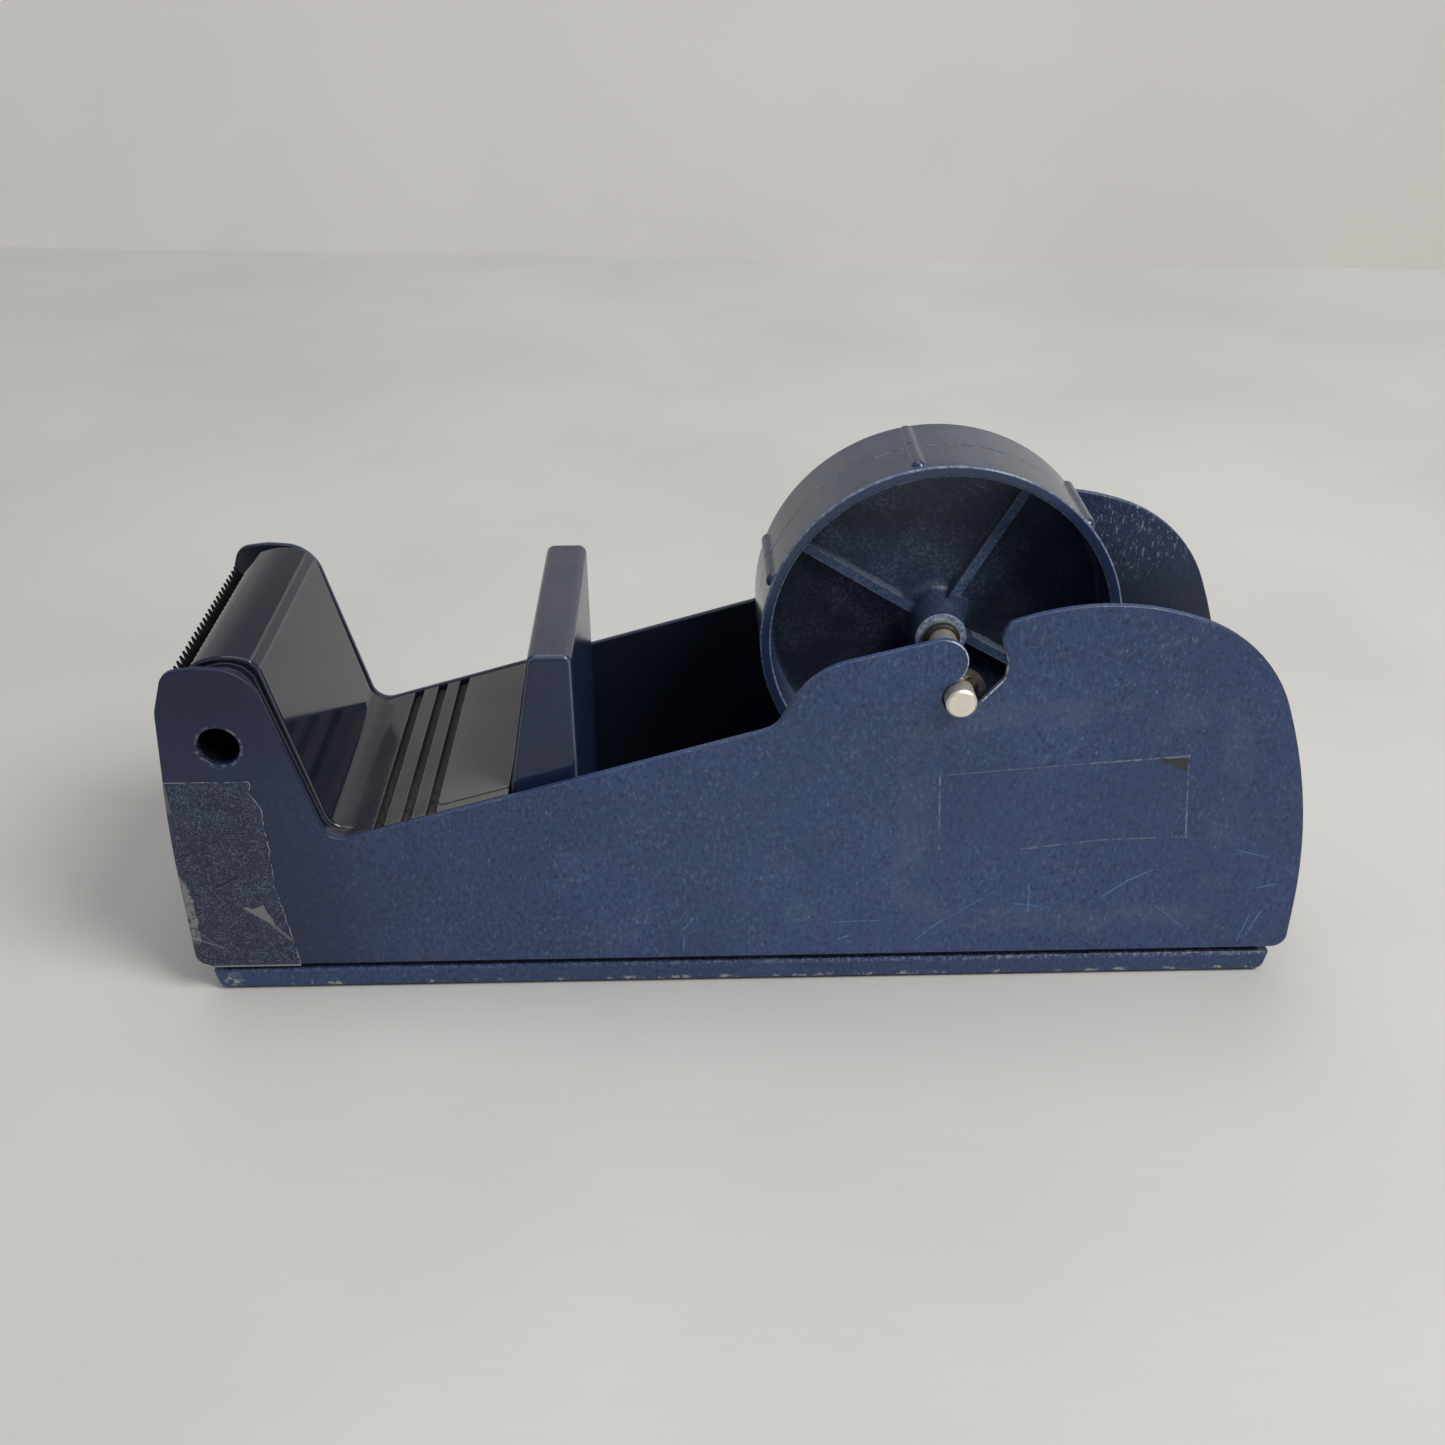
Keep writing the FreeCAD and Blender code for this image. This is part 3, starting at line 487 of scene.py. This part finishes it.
def deck_marks(g, colour, rough, fine):
    """Dirt and crumbs packed in the deck's grooves, and the dull panel behind them."""
    soot = (0.004, 0.004, 0.005)
    on_deck = g.ramp(g.nz, 0.7, 0.9)
    slope = g.math("MULTIPLY_ADD", g.x, -0.281, g.z)
    sunk = g.ramp(slope, 60.7, 60.3)
    zone = g.band(g.x, -75.4, -61.6, 0.2)
    colour = g.mix(g.both(zone, sunk, 0.95), colour, soot)
    brown = g.both(zone, sunk, g.ramp(g.y, 4.0, -26.0), g.ramp(fine, 0.42, 0.62))
    colour = g.mix(g.both(brown, 0.7), colour, (0.085, 0.065, 0.045))
    crumbs = g.both(g.specks(0.9, 0.16, 0.22), g.band(g.x, -82.0, -61.6, 1.0),
                    g.ramp(g.y, 12.0, -24.0))
    colour = g.mix(g.both(crumbs, 0.55), colour, (0.30, 0.29, 0.27))
    panel = g.both(g.ramp(g.x, -61.9, -61.6), on_deck)
    colour = g.mix(g.both(panel, 0.7), colour, (0.135, 0.130, 0.125))
    rough = g.math("ADD", rough, g.both(panel, 0.16))
    return colour, rough


# ---- wheel ----------------------------------------------------------------------------------
class WheelGraph(Graph):
    """Graph with the wheel's own measures: radius about the axle, depth from its mid-plane."""

    def __init__(self, name):
        super().__init__(name)
        self.radius = self.from_line(AXLE.x, AXLE.z)
        self.depth = self.off(self.y, WHEEL_MID)
        self.face = self.ramp(self.math("ABSOLUTE", self.ny), 0.6, 0.9)
        self.inside = self.ramp(self.radius, RIM_IN_R + 0.4, RIM_IN_R - 0.6)
        self.cloud = self.noise(8.0, 4.0, 0.6, shift=(7, 3, 1))
        self.rubbed = self.ramp(self.noise(0.9, 4.0, 0.75), 0.4, 0.6)


def wheel_plastic():
    """Navy plastic: dust and painted light and shade on the web and spokes, hazed drum, rubbed rim
    and boss.
    """
    g = WheelGraph("wheel_plastic")
    colour = g.mix(g.ramp(g.cloud, 0.35, 0.7), (0.024, 0.036, 0.080), (0.034, 0.052, 0.118))
    # Upper walls of the spokes, paler with dust and painted light.
    dust_and_light_shelf = g.both(g.inside, g.ramp(g.nz, 0.2, 0.6), g.ramp(g.depth, 1.3, 2.0),
                   g.ramp(g.radius, 8.6, 9.4))
    colour = web_marks(g, colour, dust_and_light_shelf)
    colour = drum_marks(g, colour)
    colour = rim_marks(g, colour)
    rough = g.math("MULTIPLY_ADD", g.inside, 0.20, g.math("MULTIPLY_ADD", g.cloud, 0.12, 0.13))
    rough = g.math("ADD", rough, g.both(dust_and_light_shelf, 0.2))
    fine = g.noise(0.5, 3.0, 0.7)
    height = g.math("MULTIPLY_ADD", g.both(g.inside, fine), 1.6, g.both(fine, 0.3))
    g.bump(height, 0.18, 0.12)
    return g.finish(colour, rough)


def web_marks(g, colour, dust_and_light_shelf):
    """Web and spokes: uneven tone, painted light and shade, dust and painted light on the spokes'
    upper walls, rubbed narrow faces, sandy specks.
    """
    web = g.both(g.face, g.inside)
    colour = g.mix(g.both(web, g.ramp(g.cloud, 0.3, 0.7, 0.1, 0.4)), colour,
                   (0.060, 0.076, 0.125))
    # Painted light on the web round a patch above the boss, and painted shade, near black, away
    # from it.
    lit_patch = g.ramp(g.from_line(36.0, 88.0), 29.0, 10.0)
    colour = g.mix(g.both(web, lit_patch, 0.20), colour, (0.075, 0.095, 0.155))
    colour = g.mix(g.both(web, g.ramp(lit_patch, 0.7, 0.1), 0.70), colour, (0.008, 0.010, 0.020))
    # Dust and painted light on the upper walls of the spokes; their narrow faces are rubbed bluer.
    colour = g.mix(g.both(dust_and_light_shelf, 0.55), colour, (0.150, 0.165, 0.200))
    ribs = g.both(web, g.ramp(g.depth, 2.4, 2.8), g.ramp(g.radius, 6.4, 7.2))
    colour = g.mix(g.both(ribs, 0.85), colour, (0.042, 0.076, 0.165))
    colour = g.mix(g.both(ribs, g.rubbed, 0.4), colour, (0.13, 0.20, 0.32))
    powder = g.ramp(g.noise(0.6, 2.0, 0.6, shift=(6, 6, 1)), 0.50, 0.62)
    sand = g.either(g.specks(0.75, 0.19, 0.40), g.both(g.specks(1.9, 0.26, 0.25), 0.9),
                    g.both(powder, 0.4))
    # The sandy specks are brighter in the painted light patch.
    sand = g.both(g.inside, sand, g.ramp(g.cloud, 0.38, 0.62, 0.3, 0.9),
                  g.ramp(lit_patch, 0.0, 0.7, 0.25, 1.0))
    return g.mix(sand, colour, (0.22, 0.27, 0.39))


def drum_marks(g, colour):
    """Haze of adhesive and handling on the drum, less towards its edges, and a dark seam."""
    drum = g.both(g.ramp(g.radius, DRUM_R - 0.35, DRUM_R - 0.1),
                  g.ramp(g.math("ABSOLUTE", g.ny), 0.5, 0.2))
    haze = g.ramp(g.noise(3.0, 4.0, 0.6, stretch=(1, 0.3, 1)), 0.3, 0.75, 0.55, 1.0)
    haze = g.both(drum, haze, g.ramp(g.depth, 12.6, 9.0, 0.3, 1.0))
    colour = g.mix(g.both(haze, 0.46), colour, (0.104, 0.098, 0.096))
    seam = g.both(g.ramp(g.depth, 0.45, 0.36), g.ramp(g.radius, DRUM_R - 0.5, DRUM_R - 0.3))
    return g.mix(g.both(seam, 0.95), colour, (0.008, 0.010, 0.016))


def rim_marks(g, colour):
    """End faces of the rim and the boss, and pale wear along the edges."""
    rim = g.both(g.face, g.ramp(g.radius, RIM_IN_R - 0.1, RIM_IN_R + 0.2))
    hub = g.both(g.face, g.ramp(g.radius, 6.0, 5.6), g.ramp(g.depth, 9.0, 10.0))
    colour = g.mix(g.both(rim, 0.8), colour, (0.022, 0.040, 0.098))
    colour = g.mix(g.both(rim, g.specks(1.2, 0.2, 0.25), 0.35), colour, (0.2, 0.25, 0.33))
    colour = g.mix(g.both(hub, 0.7), colour, (0.16, 0.24, 0.38))
    colour = g.mix(g.both(hub, g.rubbed, 0.8), colour, (0.46, 0.52, 0.60))
    lips = g.either(*[g.ramp(g.off(g.radius, lip), 0.28, 0.12)
                      for lip in (RIM_IN_R + 0.25, DRUM_R - 0.15)])
    lips = g.both(lips, g.ramp(g.depth, 12.0, 12.4), g.ramp(g.rubbed, 0.0, 1.0, 0.35, 1.0))
    colour = g.mix(g.both(lips, 0.8), colour, (0.24, 0.31, 0.43))
    edge = g.both(g.worn_edge(0.45, 0.02, 0.14),
                  g.either(g.ramp(g.radius, 9.0, 12.0), g.ramp(g.depth, 9.0, 11.0)))
    colour = g.mix(g.both(edge, 0.6), colour, (0.10, 0.15, 0.25))
    return g.mix(g.both(edge, g.rubbed, 0.75), colour, (0.38, 0.44, 0.52))


# ---- metals and the rest --------------------------------------------------------------------
def turned_metal(name, colour, dark, rough, metallic=1.0, grain=(1, 0.06, 1)):
    """Metal with fine turning marks, dulled by a thin film."""
    g = Graph(name)
    marks = g.noise(0.25, 3.0, 0.6, stretch=grain)
    film = g.noise(3.0, 4.0, 0.65, shift=(4, 9, 2))
    shade = g.mix(g.ramp(film, 0.35, 0.75), colour, dark)
    shade = g.mix(g.both(g.worn_edge(0.3), 0.3), shade, [min(1.0, c * 1.3) for c in colour])
    level = g.math("MULTIPLY_ADD", film, 0.2, rough)
    level = g.math("ADD", level, g.both(marks, 0.08))
    g.bump(marks, 0.15, 0.02)
    return g.finish(shade, level, Metallic=metallic)


def black_steel(name, base, rough):
    """Blackened steel with faint rust and paler edges."""
    g = Graph(name)
    marks = g.noise(0.4, 4.0, 0.7, stretch=(1, 0.25, 1))
    rust = g.ramp(g.noise(5.0, 4.0, 0.7), 0.55, 0.75)
    shade = g.mix(g.both(rust, 0.4), base, (0.05, 0.035, 0.025))
    shade = g.mix(g.both(g.worn_edge(0.2), 0.5), shade, (0.11, 0.11, 0.12))
    g.bump(marks, 0.2, 0.03)
    return g.finish(shade, g.math("MULTIPLY_ADD", marks, 0.2, rough), Metallic=0.5)


def cast_slab():
    """Bare cast iron, blotched with rust."""
    g = Graph("slab_iron")
    grain = g.noise(1.1, 5.0, 0.7)
    cloud = g.noise(9.0, 3.0, 0.6)
    shade = g.mix(g.ramp(cloud, 0.35, 0.7), (0.05, 0.05, 0.05), (0.10, 0.095, 0.09))
    shade = g.mix(g.both(g.ramp(grain, 0.55, 0.7), 0.5), shade, (0.09, 0.05, 0.03))
    g.bump(grain, 0.4, 0.15)
    return g.finish(shade, g.math("MULTIPLY_ADD", grain, 0.2, 0.55), Metallic=0.4)


def rubber_pad():
    """Dimpled black rubber with patches of dirt."""
    g = Graph("pad_rubber")
    dimple = g.noise(0.7, 3.0, 0.6)
    dirt = g.ramp(g.noise(6.0, 4.0, 0.7), 0.5, 0.75)
    shade = g.mix(g.both(dirt, 0.4), (0.012, 0.012, 0.013), (0.09, 0.085, 0.08))
    g.bump(dimple, 0.5, 0.1)
    return g.finish(shade, g.math("MULTIPLY_ADD", dimple, 0.2, 0.7))


def tape_film():
    """Old frosted tape: stringy pale marks of trapped air over the navy, torn and creased."""
    g = Graph("tape_film")
    warp = g.noise(1.3, 3.0, 0.7, shift=(3, 0, 8))
    frost = g.noise(0.55, 1.0, 0.5, stretch=(1.0, 1.0, 0.8))
    cloud = g.noise(6.0, 4.0, 0.6)
    shade = g.mix(g.ramp(cloud, 0.35, 0.7), (0.013, 0.018, 0.044), (0.018, 0.026, 0.062))
    strings = g.both(g.ramp(g.off(frost, 0.5), 0.055, 0.02), g.ramp(warp, 0.32, 0.50))
    grains = g.either(strings, g.both(g.specks(0.8, 0.22, 0.35), 0.9))
    grains = g.both(grains, g.ramp(cloud, 0.25, 0.7, 0.5, 0.8))
    shade = g.mix(grains, shade, (0.125, 0.158, 0.25))
    # A torn, bare-backed flap and its tail.
    sway = g.math("MULTIPLY_ADD", g.noise(2.6, 2.0, 0.5, shift=(2, 2, 7)), 3.0, -1.5)
    flap = g.both(g.ramp(g.math("ADD", g.z, sway), 22.2, 21.9),
                  g.ramp(g.math("MULTIPLY_ADD", g.x, 0.80, g.z), -61.2, -60.8),
                  g.ramp(g.math("MULTIPLY_ADD", g.z, 0.5, g.math("ADD", g.x, sway)), -88.3, -88.6),
                  g.ramp(g.z, 17.2, 17.8))
    flap = g.either(flap, g.both(g.line((-98.4, 17.8), (-95.0, 13.8), 0.42, 0.6), 0.6))
    shade = g.mix(g.both(flap, 0.75), shade, (0.24, 0.24, 0.235))
    slit = g.line((-108.1, 27.3), (-103.3, 29.9), 0.4)
    shade = g.mix(g.both(slit, 0.9), shade, (0.006, 0.007, 0.012))
    # Chipped wedge and a beige fold along the plate's front edge.
    reach = g.math("MULTIPLY_ADD", g.ramp(g.z, 33.0, 24.0), 2.0, -116.4)
    reach = g.math("MULTIPLY_ADD", g.noise(2.2, 4.0, 0.7, shift=(1, 6, 2)), 1.8, reach)
    wedge = g.both(g.ramp(g.math("SUBTRACT", g.x, reach), 0.25, -0.25), g.ramp(g.z, 12.5, 14.5),
                   g.ramp(g.z, 33.0, 31.0), g.ramp(g.noise(1.1, 4.0, 0.75), 0.34, 0.52))
    shade = g.mix(g.both(wedge, 0.8), shade, (0.27, 0.30, 0.28))
    fold = g.both(g.ramp(g.x, -113.9, -114.3), g.ramp(g.z, 44.0, 47.0), 0.7)
    shade = g.mix(fold, shade, (0.20, 0.19, 0.165))
    # A crease near the foot, and whitened cut and torn edges.
    crease = g.both(g.line((-115.6, 14.6), (-109.5, 11.8), 0.16), 0.6)
    rim = g.add("ShaderNodeAttribute", attribute_name="rim").outputs["Fac"]
    white = g.either(g.ramp(g.noise(1.8, 4.0, 0.8), 0.44, 0.54), g.ramp(g.z, 8.0, 7.4))
    rim = g.both(g.ramp(rim, 0.45, 0.75), white)
    foot = g.both(g.ramp(g.z, TAPE_FOOT + 0.5, TAPE_FOOT + 0.3), g.ramp(g.x, -113.0, -111.5))
    shade = g.mix(g.both(g.either(crease, rim, foot), 0.7), shade, (0.42, 0.44, 0.45))
    g.bump(frost, 0.30, 0.05)
    return g.finish(shade, g.math("MULTIPLY_ADD", frost, 0.2, 0.40), Specular_IOR_Level=0.42)


# ---- stage ----------------------------------------------------------------------------------
CAMERA_AT = (-9.11, -290.95, 214.75)                # millimetres
PITCH, YAW, ROLL = 0.5232, 0.0185, 0.0062           # radians
SENSOR, LENS = 36.0, 38.68                          # millimetres
FLOOR_HALF, WALL_RISE = 3.0, 1.6
WALL_LEFT, WALL_RIGHT = (-2.22, 0.86, 0), (2.24, 0.37, 0)
# Darker tones of the backdrop's painted shade.
SHADE_RIGHT_TONE = (0.3, 0.29, 0.27)
SHADE_HIGH_TONE = (0.16, 0.155, 0.15)


def stage_paint(name, colour, tone, ripple, shade_right=0.0, dim=0.0):
    """Pale paint with faint brush marks, and painted shade towards +X and high up.

    The last two arguments are the shares of painted shade, a darker tone, it ends with towards +X
    and above 480 mm.
    """
    g = Graph(name)
    broad = g.noise(160.0, 3.0, 0.5)
    shade = g.mix(g.ramp(broad, 0.3, 0.7), colour, tone)
    # Painted shade towards +X and with height.
    shade = g.mix(g.ramp(g.x, -900.0, 900.0, 0.0, shade_right), shade, SHADE_RIGHT_TONE)
    shade = g.mix(g.ramp(g.z, 150.0, 480.0, 0.0, dim), shade, SHADE_HIGH_TONE)
    brush = g.noise(5.0, 4.0, 0.6, stretch=(0.35, 1.0, 1.0))
    g.bump(brush, ripple, 0.5)
    return g.finish(shade, g.math("MULTIPLY_ADD", broad, 0.15, 0.42))


def flat_sheet(name, corners, material):
    mesh = bpy.data.meshes.new(name)
    mesh.from_pydata([Vector(c) for c in corners], [], [(0, 1, 2, 3)])
    sheet = bpy.data.objects.new(name, mesh)
    bpy.context.scene.collection.objects.link(sheet)
    mesh.materials.append(material)


def soft_light(name, place, target, size, power, colour=(1, 1, 1)):
    lamp = bpy.data.lights.new(name, "AREA")
    lamp.shape = "DISK"
    lamp.size = size
    lamp.energy = power
    lamp.color = colour
    light = bpy.data.objects.new(name, lamp)
    bpy.context.scene.collection.objects.link(light)
    light.location = place
    light.rotation_mode = "QUATERNION"
    light.rotation_quaternion = (Vector(target) - Vector(place)).to_track_quat("-Z", "Y")


def make_stage():
    """Painted floor, a wall some way behind, a dim sky and two soft lights."""
    floor = stage_paint("floor_paint", (0.635, 0.625, 0.60), (0.575, 0.565, 0.54), 0.25)
    corners = [(a * FLOOR_HALF, b * FLOOR_HALF, 0) for a, b in ((-1, -1), (1, -1), (1, 1), (-1, 1))]
    flat_sheet("floor", corners, floor)
    # The wall carries painted shade, darker towards +X and high up.
    wall = stage_paint("wall_paint", (0.97, 0.945, 0.90), (0.92, 0.90, 0.86), 0.12, 0.5, 0.76)
    left, right, rise = Vector(WALL_LEFT), Vector(WALL_RIGHT), Vector((0, 0, WALL_RISE))
    flat_sheet("wall", [left, right, right + rise, left + rise], wall)
    world = bpy.data.worlds.new("studio")
    bpy.context.scene.world = world
    world.use_nodes = True
    sky = world.node_tree.nodes["Background"]
    sky.inputs["Color"].default_value = (0.93, 0.96, 1.0, 1.0)
    sky.inputs["Strength"].default_value = 0.28
    soft_light("key", (0.62, -0.43, 0.95), (0, 0, 0.03), 0.55, 9.9, (1.0, 0.985, 0.96))
    soft_light("top", (-0.1, 0.25, 1.3), (0, 0.1, 0), 1.0, 5.3, (0.97, 0.98, 1.0))


def make_camera():
    """Camera at a hand-held distance, looking down at the near side."""
    level = Vector((math.cos(YAW), -math.sin(YAW), 0))
    along = Vector((math.sin(YAW), math.cos(YAW), 0))
    ahead = math.cos(PITCH) * along - math.sin(PITCH) * Vector((0, 0, 1))
    down = ahead.cross(level)
    right = math.cos(ROLL) * level + math.sin(ROLL) * down
    under = math.cos(ROLL) * down - math.sin(ROLL) * level
    turn = Matrix((right, -under, -ahead)).transposed().to_4x4()
    data = bpy.data.cameras.new("camera")
    data.sensor_width = SENSOR
    data.lens = LENS
    camera = bpy.data.objects.new("camera", data)
    bpy.context.scene.collection.objects.link(camera)
    camera.matrix_world = Matrix.Translation(Vector(CAMERA_AT) * MM) @ turn
    bpy.context.scene.camera = camera


# ---- pieces ---------------------------------------------------------------------------------
# The side plates' front edge: a round foot, an upright run, a shallow curve, then a lean.
FOOT_R = 3.0
CURVE_R = 300.0
CURVE_LO, CURVE_HI = 21.4, 44.6                     # heights above the plates' underside
LEAN = 0.0777


def new_piece(name, bm, material, body):
    mesh = bpy.data.meshes.new(name)
    bm.to_mesh(mesh)
    bm.free()
    piece = bpy.data.objects.new(name, mesh)
    bpy.context.scene.collection.objects.link(piece)
    mesh.materials.append(material)
    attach(piece, body)
    return piece


def plate_front(z):
    """The side plates' front edge at a height, in millimetres."""
    low = PLATE_LO.x
    rise = z - PLATE_LO.z
    if rise < FOOT_R:
        return low + FOOT_R - math.sqrt(max(0.0, FOOT_R ** 2 - (FOOT_R - max(rise, 0.0)) ** 2))
    if rise < CURVE_LO:
        return low
    curve = math.sqrt(CURVE_R ** 2 - (min(rise, CURVE_HI) - CURVE_LO) ** 2)
    return low + CURVE_R - curve + LEAN * max(0.0, rise - CURVE_HI)


def tape_edge(z):
    """Uneven rear edge of the strip, which is wider low down and torn back near the top."""
    edge = -96.1 + 2.5 * max(0.0, (27.0 - z) / 20.0) - 1.6 * min(1.0, max(0.0, (z - 46.0) / 3.5))
    edge += 0.45 * noise.noise(Vector((0.0, 3.1, z * 0.45)))
    return edge + 0.3 * noise.noise(Vector((5.0, 0.3, z * 1.6)))


def tape_row(z):
    """Points of the strip at one height: round the plate's front edge, then along its face."""
    front = plate_front(z) - 0.04
    side = PLATE_LO.y - 0.05
    back = PLATE_HI.y - 0.45
    turn = 0.42
    points = [(front, back), (front, side + turn), (front + 0.12, side + 0.12),
              (front + turn, side)]
    edge = tape_edge(z)
    start = front + turn
    for k in range(1, 12):
        x = start + (edge - 0.3 - start) * k / 11
        lift = max(0.0, 0.05 * noise.noise(Vector((x * 0.26, 1.0, z * 0.26))))
        points.append((x, side - lift))
    points.append((edge, side - 0.02))
    return [Vector((x, y, z)) * MM for x, y in points]


def tape_remnant():
    """Strip of old tape left on the near plate's front corner and folded round its edge."""
    foot, top = TAPE_FOOT, TAPE_TOP
    heights = [foot, foot + 0.3] + [foot + 1.0 + 0.75 * i for i in range(60)] + [top - 0.3, top]
    bm = bmesh.new()
    rim = bm.verts.layers.float.new("rim")
    previous = None
    for z in heights:
        verts = [bm.verts.new(point) for point in tape_row(z)]
        for k, vert in enumerate(verts):
            outer = z in (foot, top) or k == len(verts) - 1
            vert[rim] = 1.0 if outer else 0.0
        if previous:
            for k in range(len(verts) - 1):
                bm.faces.new((previous[k], previous[k + 1], verts[k + 1], verts[k]))
        previous = verts
    bmesh.ops.recalc_face_normals(bm, faces=bm.faces)
    piece = new_piece("tape_remnant", bm, tape_film(), "frame")
    thick = piece.modifiers.new("thickness", "SOLIDIFY")
    thick.thickness = TAPE_THICK * MM
    thick.offset = 0.0
    for polygon in piece.data.polygons:
        polygon.use_smooth = True


# ---- materials on the CAD nodes -------------------------------------------------------------
def dress(material, *names):
    """Give the CAD nodes one material."""
    for name in names:
        data = NODES[name].data
        data.materials.clear()
        data.materials.append(material)


def dress_all():
    dress(near_plate_paint(), "near_side_plate")
    dress(far_plate_paint(), "far_side_plate")
    dress(pan_paint(), "base_pan")
    dress(channel_paint(), "floor_channel")
    dress(moulding("navy_moulding_housing", MOULD, 0.84, deck=True), "front_housing")
    dress(moulding("navy_moulding_bridge", MOULD_BLUE, 0.48), "tape_bridge")
    dress(wheel_plastic(), "core_wheel")
    dress(cast_slab(), "ballast_slab", "front_ballast")
    dress(rubber_pad(), "base_pad")
    dress(turned_metal("axle_nickel", (1.0, 0.95, 0.86), (0.92, 0.84, 0.72), 0.34), "axle")
    dress(turned_metal("sleeve_steel", (0.62, 0.62, 0.62), (0.40, 0.39, 0.37), 0.28), "hub_sleeve")
    even = (1, 1, 1)
    dress(turned_metal("screw_zinc", (0.62, 0.62, 0.58), (0.42, 0.41, 0.36), 0.34, grain=even),
          "base_screws", "housing_screws", "bridge_screws")
    dress(turned_metal("clip_steel", (0.10, 0.09, 0.08), (0.055, 0.05, 0.045), 0.42, grain=even),
          "near_axle_clip", "far_axle_clip", "near_hub_ring", "far_hub_ring")
    dress(black_steel("blade_black", (0.010, 0.010, 0.012), 0.34), "cutter_blade")
    dress(black_steel("clamp_black", (0.012, 0.013, 0.017), 0.42), "blade_clamp", "blade_screws")
    dress(black_steel("tube_black", (0.006, 0.007, 0.011), 0.4), "front_cross_tube")


make_camera()
make_stage()
dress_all()
tape_remnant()
bpy.context.scene.view_settings.view_transform = "Standard"
